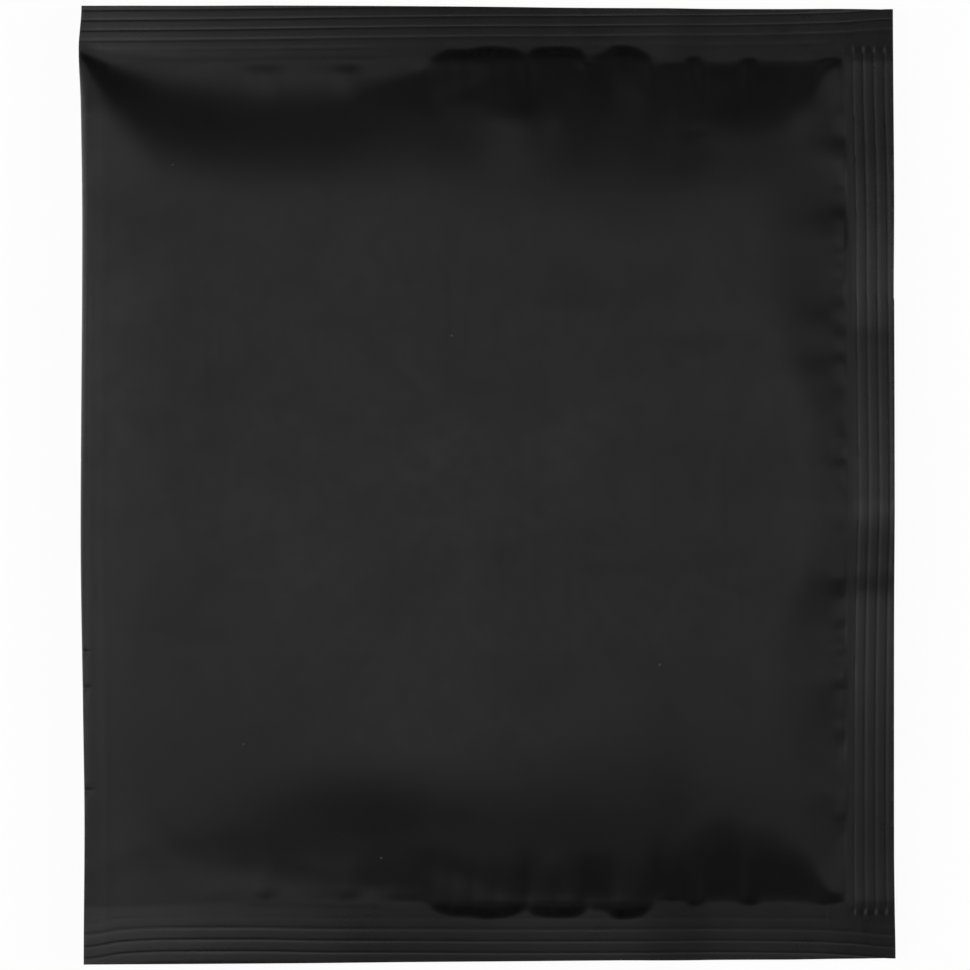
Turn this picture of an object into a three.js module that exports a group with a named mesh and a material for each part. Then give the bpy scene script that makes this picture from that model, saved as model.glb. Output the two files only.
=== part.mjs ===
// A sealed single-serve sachet for a drip coffee filter: one sheet of film, folded down its left edge and
// heat-sealed along its top, bottom and right edges, around a soft flat filling.
// Millimetres, +Z up. The sachet lies on its back: the folded edge is at -X and the top seal at +Y.
import * as THREE from "three";

const { clamp, lerp, smoothstep } = THREE.MathUtils;

// Film
const FILM_WIDTH = 102.2; // folded edge to the cut edge of the side seal
const FILM_HEIGHT = 120; // cut edge to cut edge, at mid-width
const FILM_THICKNESS = 0.12; // one layer
const FOLD_LEAN = 0.35; // how much further in the fold stands at the bottom than at the top
const TOP_TRIM_SKEW = 0.4; // how much lower the top edge is cut at the right than at the left
const BOTTOM_TRIM_SKEW = 0.8; // how much higher the bottom edge is cut at the right than at the left

// Heat seals: a plain band beside the filling, then pressed ribs out to the cut edge
const TOP_SEAL = { band: 3.1, pitch: 1.28, ribs: 3, trim: 0.1 };
const BOTTOM_SEAL = { band: 3.4, pitch: 1.36, ribs: 3, trim: 0.1 };
const SIDE_SEAL = { band: 0.1, pitch: 1.42, ribs: 4, trim: 0 };
const RIB_HEIGHT = 0.12;
const END_RIB_STEP = 0.3; // run of the steep inner face of a top or bottom rib
const SIDE_RIB_WIDTH = 0.6;
const SIDE_RIB_FADE = 0.5; // run over which a side rib dies away at its ends
const SIDE_RIB_GAP = 1; // from the end of a side rib to the first top or bottom rib
const TOP_RIB_SKEW = 0.7; // how much the top ribs rise from left to right

// Filling. Lists give [place, value] pairs: a place along the width runs from 0 at the fold to 1 at the
// cut edge, and a place up the height runs from 0 at the bottom edge to 1 at the top edge.
const FRONT_CROWN = 3.2; // level of the front above the mean height of the seals
const FRONT_DOME = 0.3; // extra rise of the middle of the front
const FRONT_FALL = 0.5; // how much lower the front is at the side seal
const BACK_DEPTH = 3.8; // fall of the back below the seals, down to the face that it lies on
// Height of the end seals above their mean, along the width
const TOP_SEAL_LIFT = [
  [0, 0.9], [0.07, 1.2], [0.26, 1.2], [0.45, 0.5], [0.53, -0.2], [0.58, -0.9],
  [0.65, -1.4], [0.71, -1.4], [0.78, -2], [0.86, -1.7], [0.94, -0.6], [1, -0.4],
];
const BOTTOM_SEAL_LIFT = [
  [0, 1.2], [0.15, 1.5], [0.27, 1.4], [0.39, 0.7], [0.53, 0.3], [0.59, 0],
  [0.7, -0.5], [0.78, -2], [0.87, -1.5], [0.94, -0.6], [1, -0.5],
];
const SIDE_SEAL_BOW = 2.6; // how far the middle of the side seal stands above its ends
// Each end's slope: "run" is its length in to the level middle, "peak" is where along the run it is
// steepest, and "steep" is the share of the rise that the film makes at once, within the gathers
const TOP_SLOPE = {
  run: [[0, 8], [0.06, 12], [0.1, 15.5], [0.2, 18], [0.4, 18.5], [0.5, 22], [0.64, 25], [1, 27]],
  peak: [[0, 0.2], [0.1, 0.32], [0.3, 0.42], [0.4, 0.36], [0.55, 0.12], [1, 0.1]],
  steep: [[0, 0], [0.45, 0], [0.58, 0.2], [0.66, 0.26], [0.73, 0.24], [0.78, 0.5], [1, 0.5]],
};
const BOTTOM_SLOPE = {
  run: [[0, 17], [0.2, 18], [0.33, 19], [0.4, 21], [0.5, 25], [0.74, 33], [1, 34]],
  peak: [[0, 0.45], [0.3, 0.48], [0.4, 0.36], [0.55, 0.08], [1, 0.06]],
  steep: [[0, 0], [0.45, 0], [0.58, 0.14], [0.73, 0.24], [0.78, 0.52], [1, 0.5]],
};
const STEEP_RUN = 7; // length of the steep foot of a slope
const STEEP_PEAK = 0.12;
// Lengths of the slopes beside the side seal and the fold, up the height
const SIDE_RUN = [[0, 10], [0.35, 7], [0.5, 5], [0.6, 6], [0.8, 8], [1, 10]];
const SIDE_PEAK = 0.1;
const FOLD_RUN = [[0, 42], [0.17, 38], [0.37, 26], [0.5, 18], [0.67, 13], [1, 12]];
const FOLD_PEAK = 0.06;
// Height of the folded edge, which the filling holds open between the seals
const FOLD_OPENING = [
  [0.05, 0.1], [0.1, 0.2], [0.2, 0.5], [0.37, 0.95], [0.5, 1.3],
  [0.67, 1.8], [0.78, 1.9], [0.88, 1.6], [0.93, 0.6], [0.95, 0.1],
];
const FOLD_ROUNDING = 1.3; // distance in from the folded edge over which it is round
const THIN_CORNER = { x: 0.07, y: 0.08, reach: 15, share: 0.75 }; // where the filling has slumped away
const BACK_RUN_SHARE = 0.7; // the back's slopes are this much of the front's, because it is pressed flat
const BACK_FLAT_FROM = 0.86; // where the filling is this full, the back already lies flat
const CORNER_SHARPNESS = 5; // how crisp the creases are where two slopes meet

// Gathers: the film bulges between pinches along the seals. "to" is the far pinch of each lobe, measured
// along the seal from the side seal (top and bottom) or from the top seal (side); "rise" is the lobe's
// height, and "mouth" is how far it opens into the plain band.
const TOP_GATHERS = [
  { to: 4.7, rise: 0.2, mouth: 0.3 },
  { to: 14.3, rise: 0.3, mouth: 0.8 },
  { to: 24.4, rise: 0.4, mouth: 0.9 },
  { to: 32.8, rise: 0.5, mouth: 2 },
  { to: 40.8, rise: 0.6, mouth: 2 },
  { to: 52.7, rise: 0.6, mouth: 1.9 },
  { to: 73.1, rise: 0.2, mouth: 0 },
  { to: 87, rise: 0.1, mouth: 0 },
];
const BOTTOM_GATHERS = [
  { to: 4.7, rise: 0.2, mouth: 0.3 },
  { to: 14.1, rise: 0.3, mouth: 0.8 },
  { to: 25, rise: 0.4, mouth: 0.9 },
  { to: 31.8, rise: 0.5, mouth: 1.8 },
  { to: 40.9, rise: 0.6, mouth: 1.9 },
  { to: 53.3, rise: 0.6, mouth: 1.8 },
  { to: 73.8, rise: 0.2, mouth: 0 },
];
const SIDE_GATHERS = [
  { to: 10, rise: 0.2, mouth: 0 },
  { to: 19, rise: 0.3, mouth: 0 },
  { to: 33, rise: 0.3, mouth: 0 },
  { to: 49, rise: 0.3, mouth: 0 },
  { to: 65, rise: 0.3, mouth: 0 },
  { to: 72, rise: 0.2, mouth: 0 },
  { to: 84, rise: 0.3, mouth: 0 },
  { to: 95, rise: 0.3, mouth: 0 },
];
const GATHER_SWELL = 1.6; // inward distance over which a lobe rises from the seal
const GATHER_REACH = 8; // inward distance at which a lobe has died away
const PINCH_SHARPNESS = 0.7; // below 1, the pinches are sharper than the lobes between them

// Mesh steps, and the widths of the zones along the fold and the end seals that need the finer ones
const FOLD_STEP = 2.4;
const PLAIN_STEP = 3.9;
const GATHER_STEP = 2.3;
const FOLD_ZONE = 16;
const GATHER_ZONE = 18;

const FILM_COLOUR = "#272727";
const FILM_ROUGHNESS = 0.5;

// Places that follow from those sizes
const sealWidth = ({ band, pitch, ribs, trim }) => band + pitch * ribs + trim;
const foldX = -FILM_WIDTH / 2;
const cutX = FILM_WIDTH / 2;
const sideSealX = cutX - sealWidth(SIDE_SEAL);
const topSealY = FILM_HEIGHT / 2 - sealWidth(TOP_SEAL);
const bottomSealY = -FILM_HEIGHT / 2 + sealWidth(BOTTOM_SEAL);
const sealHeight = BACK_DEPTH + FILM_THICKNESS;

// How far along the width a place is, from 0 at the fold to 1 at the cut edge, and how far up the height.
const widthShare = (x) => (x - foldX) / FILM_WIDTH;
const topCutY = (x) => FILM_HEIGHT / 2 + TOP_TRIM_SKEW * (0.5 - widthShare(x));
const bottomCutY = (x) => -FILM_HEIGHT / 2 - BOTTOM_TRIM_SKEW * (0.5 - widthShare(x));
const heightShare = (y) => y / FILM_HEIGHT + 0.5;
const topRibShift = (x) => TOP_RIB_SKEW * (widthShare(x) - 0.5);
const bottomRibShift = () => 0;
const foldShift = (y) => FOLD_LEAN * (0.5 - y / FILM_HEIGHT);

// The lobe at a place along a seal, and the height of its arch there: 0 at a pinch, 1 between pinches.
function lobeAt(along, gathers) {
  let from = 0;
  for (const lobe of gathers) {
    if (along >= from && along < lobe.to) {
      const arch = Math.sin((Math.PI * (along - from)) / (lobe.to - from)) ** PINCH_SHARPNESS;
      return { lobe, arch };
    }
    from = lobe.to;
  }
  return { lobe: { rise: 0, mouth: 0 }, arch: 0 };
}

// A seal seen from the filling: how far in a place lies, and how much the gathers lift the film there.
function sealSide(inward, along, gathers) {
  const { lobe, arch } = lobeAt(along, gathers);
  const depth = inward + lobe.mouth * arch;
  const swell = smoothstep(depth, 0, GATHER_SWELL);
  const fade = 1 - smoothstep(depth, GATHER_SWELL, GATHER_REACH);
  return { depth, lift: lobe.rise * arch * swell * fade };
}

// The least of several shares, rounded where two of them meet, and 1 where all of them are 1.
function softLeast(shares) {
  if (shares.some((share) => share <= 0)) return 0;
  const total = shares.reduce((sum, share) => sum + share ** -CORNER_SHARPNESS, 1 - shares.length);
  return total ** (-1 / CORNER_SHARPNESS);
}

// The value at a place of a list of [place, value] pairs, on a smooth line that never strays past them.
function valueAt(place, pairs) {
  const last = pairs.length - 1;
  const at = clamp(place, pairs[0][0], pairs[last][0]);
  const left = Math.max(0, pairs.findIndex(([end]) => end >= at) - 1);
  const rate = (i) => (pairs[i + 1][1] - pairs[i][1]) / (pairs[i + 1][0] - pairs[i][0]);
  const lean = (i) => {
    if (i === 0 || i === last) return 0;
    const product = rate(i - 1) * rate(i);
    return product > 0 ? (2 * product) / (rate(i - 1) + rate(i)) : 0;
  };
  const [fromPlace, from] = pairs[left];
  const [toPlace, to] = pairs[left + 1];
  const width = toPlace - fromPlace;
  const t = (at - fromPlace) / width;
  const near = (1 - t) ** 2 * ((1 + 2 * t) * from + t * width * lean(left));
  const far = t ** 2 * ((3 - 2 * t) * to - (1 - t) * width * lean(left + 1));
  return near + far;
}

// Share of the full height at a depth in from an edge: a slope that is steepest at a share of its run.
function slope(depth, run, peak) {
  const along = clamp(depth / run, 0, 1);
  const before = clamp(along / peak, 0, 1);
  const after = clamp((along - peak) / (1 - peak), 0, 1);
  const foot = peak * before ** 3 * (2 - before);
  const shoulder = (1 - peak) * after * (2 - 2 * after ** 2 + after ** 3);
  return foot + shoulder;
}

// Share of the full height in from an end seal, at a place along the width.
function endSlope(depth, across, runShare, { run, peak, steep }) {
  const gathered = valueAt(across, steep);
  const foot = slope(depth, STEEP_RUN * runShare, STEEP_PEAK);
  const tail = slope(depth, valueAt(across, run) * runShare, valueAt(across, peak));
  return lerp(tail, foot, gathered);
}

// Share of the full height in from the fold, at a place up the height: a round open edge, then a slope.
function foldSlope(depth, up, runShare) {
  const opening = valueAt(up, FOLD_OPENING) / FRONT_CROWN;
  const inset = 1 - clamp(depth / FOLD_ROUNDING, 0, 1);
  const tail = slope(depth, valueAt(up, FOLD_RUN) * runShare, FOLD_PEAK);
  return opening * Math.sqrt(1 - inset ** 2) + (1 - opening) * tail;
}

// The share of the filling that is left where it has slumped away from a corner.
function thinShare(x, y) {
  const away = Math.hypot(x - lerp(foldX, cutX, THIN_CORNER.x), y - (THIN_CORNER.y - 0.5) * FILM_HEIGHT);
  return 1 - THIN_CORNER.share * Math.exp(-((away / THIN_CORNER.reach) ** 2));
}

// How full the sachet is at a place, 0 on the seals to 1 in its level middle, and the lift of its gathers.
function filling(x, y, runShare) {
  const fromSide = sideSealX - x;
  const fromFold = x - foldX;
  const top = sealSide(topSealY - y, fromSide, TOP_GATHERS);
  const bottom = sealSide(y - bottomSealY, fromSide, BOTTOM_GATHERS);
  const side = sealSide(fromSide, topSealY - y, SIDE_GATHERS);
  const share = softLeast([
    endSlope(top.depth, widthShare(x), runShare, TOP_SLOPE),
    endSlope(bottom.depth, widthShare(x), runShare, BOTTOM_SLOPE),
    slope(side.depth, valueAt(heightShare(y), SIDE_RUN) * runShare, SIDE_PEAK),
    foldSlope(fromFold, heightShare(y), runShare),
  ]);
  const lift = (top.lift + bottom.lift + side.lift) * smoothstep(fromFold, 0, FOLD_ZONE);
  return { share, lift };
}

// How near the middle of the film a place is, from 0 on its outline to 1 at its centre.
function middleShare(x, y) {
  const across = clamp(x / cutX, -1, 1);
  const up = clamp(y / (FILM_HEIGHT / 2), -1, 1);
  return (1 - across ** 2) * (1 - up ** 2);
}

// The sealed mid-surface between the two layers, which is not level.
function sealPlane(x, y) {
  const up = heightShare(y);
  const ends = lerp(valueAt(widthShare(x), BOTTOM_SEAL_LIFT), valueAt(widthShare(x), TOP_SEAL_LIFT), up);
  const bow = SIDE_SEAL_BOW * smoothstep(x, 0, cutX) * (1 - (2 * up - 1) ** 2);
  return sealHeight + ends + bow;
}

// The front of the sachet above a place on the seal plane.
function frontRise(x, y) {
  const { share, lift } = filling(x, y, 1);
  const fall = FRONT_FALL * smoothstep(x, 0, cutX);
  const crown = sealHeight + FRONT_CROWN + FRONT_DOME * middleShare(x, y) - fall;
  return (crown - sealPlane(x, y)) * share * thinShare(x, y) + lift;
}

// The share of the way from the seals down to the flat face that the sachet lies on.
function backShare(x, y) {
  const { share, lift } = filling(x, y, BACK_RUN_SHARE);
  return Math.min(1, (share + lift / BACK_DEPTH) / BACK_FLAT_FROM);
}

// Stations from one place to just short of another, near a wished step.
function stations(from, to, step) {
  const count = Math.max(1, Math.round(Math.abs(to - from) / step));
  return Array.from({ length: count }, (_, i) => lerp(from, to, i / count));
}

// Columns of the film, from the fold to the cut edge, each with its place and its height of side rib.
function filmColumns() {
  const innerX = foldX + FOLD_ZONE;
  const openLobes = TOP_GATHERS.filter((lobe) => lobe.mouth > 0);
  const gatherX = sideSealX - Math.max(...openLobes.map((lobe) => lobe.to));
  const places = [
    foldX,
    foldX + FOLD_ROUNDING / 3,
    ...stations(foldX + FOLD_ROUNDING, innerX, FOLD_STEP),
    ...stations(innerX, gatherX, PLAIN_STEP),
    ...stations(gatherX, sideSealX, GATHER_STEP),
    sideSealX,
  ];
  const columns = places.map((x) => ({ x, rib: 0 }));
  for (let i = 0; i < SIDE_SEAL.ribs; i++) {
    const crest = sideSealX + SIDE_SEAL.band + SIDE_SEAL.pitch * (i + 0.5);
    columns.push({ x: crest - SIDE_RIB_WIDTH / 2, rib: 0 });
    columns.push({ x: crest, rib: RIB_HEIGHT });
    columns.push({ x: crest + SIDE_RIB_WIDTH / 2, rib: 0 });
  }
  columns.push({ x: cutX, rib: 0 });
  return columns;
}

// Rows across an end seal, from the filling outwards: the plain band, then ribs with a steep inner face.
function endSealRows(seal, sealY, outward, cutY, ribShift) {
  const sideRibEnd = sealY + outward * (seal.band - SIDE_RIB_GAP);
  const rows = [
    { y: () => sideRibEnd - outward * SIDE_RIB_FADE, rib: 0, sideRibs: 1 },
    { y: () => sideRibEnd, rib: 0, sideRibs: 0 },
  ];
  for (let i = 0; i < seal.ribs; i++) {
    const foot = sealY + outward * (seal.band + seal.pitch * i);
    const crest = foot + outward * END_RIB_STEP;
    rows.push({ y: (x) => foot + ribShift(x), rib: 0, sideRibs: 0 });
    rows.push({ y: (x) => crest + ribShift(x), rib: RIB_HEIGHT, sideRibs: 0 });
  }
  rows.push({ y: cutY, rib: 0, sideRibs: 0 });
  return rows;
}

// Rows of the film, from the bottom cut edge to the top cut edge.
function filmRows() {
  const bottomPlainY = bottomSealY + GATHER_ZONE;
  const topPlainY = topSealY - GATHER_ZONE;
  const inside = [
    ...stations(bottomSealY, bottomPlainY, GATHER_STEP),
    ...stations(bottomPlainY, topPlainY, PLAIN_STEP),
    ...stations(topPlainY, topSealY, GATHER_STEP),
    topSealY,
  ];
  return [
    ...endSealRows(BOTTOM_SEAL, bottomSealY, -1, bottomCutY, bottomRibShift).reverse(),
    ...inside.map((y) => ({ y: () => y, rib: 0, sideRibs: 1 })),
    ...endSealRows(TOP_SEAL, topSealY, 1, topCutY, topRibShift),
  ];
}

// The place of one point of the film. "layer" is 1 on the front, -1 on the back, 0 halfway down an edge.
function filmPoint(column, row, layer) {
  const y = row.y(column.x);
  let z = sealPlane(column.x, y) + row.rib + column.rib * row.sideRibs + FILM_THICKNESS * layer;
  if (layer > 0) z += frontRise(column.x, y);
  if (layer < 0) z *= 1 - backShare(column.x, y);
  const x = column.x + foldShift(y) * (1 - widthShare(column.x));
  return new THREE.Vector3(x, y, z);
}

// The film's whole outer surface: a gridded box whose front, back and edges are drawn onto the sachet.
function sachetGeometry() {
  const columns = filmColumns();
  const rows = filmRows();
  const layers = 2;
  const columnSteps = columns.length - 1;
  const rowSteps = rows.length - 1;
  const geometry = new THREE.BoxGeometry(columnSteps, rowSteps, layers, columnSteps, rowSteps, layers);
  const position = geometry.getAttribute("position");
  for (let i = 0; i < position.count; i++) {
    const column = columns[Math.round(position.getX(i) + columnSteps / 2)];
    const row = rows[Math.round(position.getY(i) + rowSteps / 2)];
    const point = filmPoint(column, row, Math.round(position.getZ(i)));
    position.setXYZ(i, point.x, point.y, point.z);
  }
  // The origin is the middle of the outline, on the surface that the sachet lies on.
  geometry.computeBoundingBox();
  const { min, max } = geometry.boundingBox;
  geometry.translate(-(min.x + max.x) / 2, -(min.y + max.y) / 2, -min.z);
  geometry.computeVertexNormals();
  return geometry;
}

const sachet = new THREE.Mesh(
  sachetGeometry(),
  new THREE.MeshStandardMaterial({ color: FILM_COLOUR, roughness: FILM_ROUGHNESS, metalness: 0 }),
);
sachet.name = "sachet";

const group = new THREE.Group();
group.add(sachet);
export default group;
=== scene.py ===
"""Looks of a sealed drip coffee sachet: matte black film, pressed seals and gathers, lying on its back."""
import math

import bpy
import numpy as np
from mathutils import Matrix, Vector


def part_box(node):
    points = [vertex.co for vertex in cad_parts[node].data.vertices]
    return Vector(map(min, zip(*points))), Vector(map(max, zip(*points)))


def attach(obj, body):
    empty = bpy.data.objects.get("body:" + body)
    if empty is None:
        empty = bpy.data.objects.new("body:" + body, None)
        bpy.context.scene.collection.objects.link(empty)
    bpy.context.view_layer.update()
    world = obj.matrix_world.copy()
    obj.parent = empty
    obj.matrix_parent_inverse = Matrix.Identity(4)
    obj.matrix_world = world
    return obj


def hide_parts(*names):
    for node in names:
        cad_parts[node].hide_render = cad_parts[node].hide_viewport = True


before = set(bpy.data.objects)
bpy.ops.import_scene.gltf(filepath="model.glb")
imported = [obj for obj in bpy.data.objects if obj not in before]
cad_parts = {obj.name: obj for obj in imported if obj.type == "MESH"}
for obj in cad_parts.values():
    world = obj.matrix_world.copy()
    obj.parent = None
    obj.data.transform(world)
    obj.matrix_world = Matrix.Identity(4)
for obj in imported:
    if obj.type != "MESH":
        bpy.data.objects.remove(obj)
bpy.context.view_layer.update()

MM = 0.001

# The film, in millimetres from the middle of its outline; its outer sizes come from the solid it replaces
SOLID_LOW, SOLID_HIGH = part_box("sachet")
FILM_WIDTH = (SOLID_HIGH.x - SOLID_LOW.x) / MM
SOLID_HEIGHT = (SOLID_HIGH.z - SOLID_LOW.z) / MM
TOP_TRIM_SKEW = 0.4
BOTTOM_TRIM_SKEW = 0.8
FILM_HEIGHT = (SOLID_HIGH.y - SOLID_LOW.y) / MM - (TOP_TRIM_SKEW + BOTTOM_TRIM_SKEW) / 2
MIDDLE_Y = (BOTTOM_TRIM_SKEW - TOP_TRIM_SKEW) / 4
FILM_THICKNESS = 0.12
FOLD_X = -FILM_WIDTH / 2
CUT_X = FILM_WIDTH / 2

# Outline: how far the folded and the cut edge stray from straight lines, as (y, shift in x)
FOLD_STRAY = (
    (-60, 0.41), (-43, 0.51), (-28, 0.31), (-6, 0.01), (32, 0.21), (48, 0.01), (54.6, -0.24), (60, 0.11),
)
CUT_STRAY = (
    (-60, 0.36), (-53, 0.23), (-46, 0.14), (-36, 0.1), (-22, 0.07), (17.7, 0.11), (22.9, 0.11),
    (23.3, 0.05), (36, 0.12), (60, 0.03),
)
# and how far the trimmed ends do, as (x, shift in y)
TOP_STRAY = ((-51.1, -0.11), (-38, -0.08), (-28, 0), (0, 0.05), (40, 0.04), (51.1, 0))
BOTTOM_STRAY = (
    (-51.1, 0.04), (-28, 0), (0, -0.06), (16, -0.1), (27, -0.26), (37, -0.26), (45, -0.14),
    (51.1, -0.14),
)

# Heat seals: inner lines of the end seals as (x, y)
TOP_SEAL = (
    (-51.1, 54.9), (-48, 53.9), (-44, 53.5), (-36, 52.8), (-20, 52.7), (0, 52.9), (20, 53.1),
    (29.6, 52.8), (45.3, 53.2), (51.1, 53.3),
)
BOTTOM_SEAL = (
    (-51.1, -52.6), (-30, -52.3), (0, -52.4), (20, -52.5), (29, -52.3), (45.3, -52.5), (51.1, -52.4),
)
# The end seals have opened outwards in arches: how far, along x, and how far in that tells
TOP_OPENING = (
    (-11, 0), (-8.4, 0.15), (-6.6, 0.9), (-4.5, 1.8), (-2.6, 1.75), (0.4, 2.1), (2.6, 1.9), (4.4, 1.4),
    (5.2, 1.1), (6, 1.8), (8.2, 2), (11, 1.85), (12, 1.3), (12.9, 0.9), (14.5, 1.3), (16.4, 2.1),
    (18, 2), (19.6, 1.3), (20.8, 0.7), (23.6, 0.5), (25.2, 0.7), (26, 1), (27.4, 0.6), (29.6, 0.45),
    (32, 0.6), (32.9, 0.9), (34.4, 0.55), (38, 0.45), (41.5, 0.4), (43.5, 0.5), (45.3, 0),
)
BOTTOM_OPENING = (
    (-11, 0), (-8.4, 0.3), (-6.4, 1.4), (-4.5, 1.9), (-2.6, 1.9), (-0.6, 2.2), (2, 2), (3.6, 1.5),
    (4.6, 1.1), (5.6, 1.8), (8.4, 2.05), (11, 1.9), (12, 1.1), (14.5, 1.3), (16.4, 2.2), (18.5, 2),
    (20, 1.1), (21.2, 0.35), (24.4, 0.3), (25.8, 0.8), (27.4, 0.5), (29.6, 0.4), (32, 0.55),
    (32.9, 0.75), (34.4, 0.45), (38, 0.3), (42, 0.5), (45.3, 0),
)
OPENING_REACH = 12
SIDE_SEAL_X = 45.4
# Ribs: the first grooves of the end seals as (x, y) and of the side seal as (y, x), and the pitches
TOP_GROOVE = ((-51.1, 55.72), (0, 56.31), (44, 56.82), (51.1, 57.3))
TOP_PITCH = 1.28
BOTTOM_GROOVE = (
    (-51.1, -56.7), (-46, -56), (-40, -55.75), (-30, -55.73), (-20, -55.9), (-10, -55.96), (0, -56.05),
    (20, -56.08), (40, -56.18), (45, -56.35), (51.1, -56.85),
)
BOTTOM_PITCH = 1.48
SIDE_GROOVE = (
    (-51, 44.65), (-32, 44.69), (-17, 44.84), (-2, 45.15), (17, 45), (29.4, 44.94), (40.7, 44.78),
    (50.8, 44.59),
)
SIDE_PITCH = 1.346
SIDE_RIB_ENDS = (-54.3, 55.1)
SIDE_RIB_FADE = 0.8
# The end ribs are pressed less and less towards the side seal: share along x
END_RIB_PRESS = ((-51.1, 1.4), (-40, 1.35), (-25, 1.1), (-7, 0.8), (20, 0.75), (45, 0.6))
END_RIB_HEIGHT = 0.02
END_RIB_ROUNDNESS = 5.0
FIRST_END_RIB = 0.7
SIDE_RIB_HEIGHT = 0.13
SIDE_RIB_ROUNDNESS = 3.2
FIRST_SIDE_RIB = 0.3
BACK_DEPTH = 3.8
SEAL_HEIGHT = BACK_DEPTH + FILM_THICKNESS
# The seals are not level: how far each stands above or below the mean, along x or y
TOP_SEAL_LIFT = (
    (-51.1, 0.9), (-44, 1.2), (-25, 1.2), (-5, 0.5), (3, -0.2), (8.5, -0.9), (15, -1.2), (22, -1.15),
    (29, -2), (37, -1.75), (45.4, -0.6), (51.1, -0.4),
)
BOTTOM_SEAL_LIFT = (
    (-51.1, 1.2), (-36, 1.5), (-23.5, 1.4), (-11, 0.7), (3, 0.3), (9, 0), (19, -0.5), (29, -2), (38, -1.5),
    (45.4, -0.6), (51.1, -0.5),
)
# The side seal arches up between its ends, with a sharp crest and a kink below it
SIDE_SEAL_LIFT = (
    (-60, 0.02), (-52, 0.14), (-38, 0.73), (-26, 1.23), (-21, 1.37), (-15, 1.52), (-13.9, 1.57),
    (-11, 1.83), (-9.6, 1.92), (-3.8, 2.32), (-3.3, 2.33), (0, 2.2), (8, 1.8), (17, 1.27), (20, 1.08),
    (23, 0.99), (27, 0.93), (31, 0.84), (38, 0.59), (52, 0), (60, -0.13),
)
# The seals hang outwards: fall per millimetre, along x for the end seals
END_SEAL_FALL = (
    (-51.1, -0.008), (-42, 0.002), (-36, 0.017), (-24, 0.035), (-5, 0.056), (8, 0.048), (22, 0.045),
    (42, 0.045), (48, 0.04),
)
SIDE_SEAL_FALL = 0.17
SIDE_SEAL_BEND = 1.2
# The seals are pressed smooth, from this far out of their inner lines, and so is the film in one corner, as
# (x, y, half-width, half-height, share)
SMOOTH_FROM = 1.0
SMOOTH_CORNER = (-46, -47, 4, 6, 0.5)

# Filling: the level front, which is domed a little and falls towards the side seal
FRONT_DOME = 0.3
FRONT_FALL = 1.5
FRONT_CROWN = SOLID_HEIGHT - BACK_DEPTH - 2 * FILM_THICKNESS - FRONT_DOME
# The slopes up to it, as (place along the edge, value): the run, where along it the slope is steepest, the
# share of the rise that is a steep foot, and that foot's own run
TOP_RUN = (
    (-51.1, 6), (-48.5, 8.5), (-45, 12), (-41, 15.5), (-30, 18), (-10, 18.5), (0, 22), (14, 25), (51.1, 27),
)
TOP_PEAK = (
    (-51.1, 0.2), (-41, 0.32), (-30, 0.36), (-24, 0.36), (-20, 0.32), (-15, 0.2), (-10, 0.1), (-7, 0.05),
)
TOP_STEEP = (
    (-51.1, 0), (-6, 0), (8, 0.2), (16, 0.2), (21, 0.12), (24.5, 0.18), (29, 0.46), (32, 0.5),
    (45.3, 0.5),
)
TOP_STEEP_RUN = (
    (-51.1, 6), (8, 6), (15, 7.5), (23, 6), (30, 6.3), (37, 6.3), (40, 5.6), (42, 4), (43.6, 2.2),
    (45.3, 1.2),
)
BOTTOM_RUN = ((-51.1, 17), (-30, 18), (-17, 19), (-10, 20), (0, 22.5), (10, 26.5), (25, 33), (51.1, 34))
BOTTOM_PEAK = ((-51.1, 0.4), (-36, 0.34), (-30, 0.27), (-22, 0.2), (-16, 0.13), (-10, 0.08), (-6, 0.05))
BOTTOM_STEEP = (
    (-51.1, 0), (-10, 0), (-3, 0.11), (4, 0.16), (16, 0.18), (22, 0.2), (29, 0.52), (40, 0.52),
    (45.3, 0.4),
)
BOTTOM_STEEP_RUN = (
    (-51.1, 10.5), (8, 10.5), (16, 8.5), (24, 5.8), (28, 7.2), (30.5, 7.4), (33, 6.6), (35, 6.6),
    (38.5, 5.4), (41, 4.4), (43, 2.8), (45.3, 1.2),
)
STEEP_ROUNDING = 0.42
FOOT_ROUNDING = 0.6
SIDE_RUN = (
    (-54, 14), (-44, 13), (-30, 12), (-19, 11), (-14, 9), (-8, 6), (8, 6), (12, 8), (17, 10), (30, 12.5),
    (44, 13.5), (54, 14),
)
SIDE_PEAK = 0.2
FOLD_RUN = ((-60, 42), (-40, 38), (-15, 26), (0, 18), (20, 13), (60, 12))
FOLD_PEAK = 0.06
# The folded edge is open between the seals: its height above the seal plane along y, and its rounding
FOLD_EDGE = (
    (-53, 0.1), (-48, 0.2), (-35, 0.5), (-15, 0.95), (0, 1.3), (20, 1.8), (34, 1.9), (40, 1.8),
    (46, 1.6), (50, 1), (52.6, 0.45), (54.2, 0.1),
)
FOLD_ROUNDING = 1.3
CORNER_SHARPNESS = 5.0
LEAST_SHARE = 1e-3
BACK_RUN_SHARE = 0.7
BACK_FLAT_FROM = 0.86
# Where the front stands less high, as (x, y, half-width, half-height, missing share)
THIN = ((-45, -50, 16.5, 15, 0.8), (-19, -46, 10, 8, 0.25))

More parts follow.
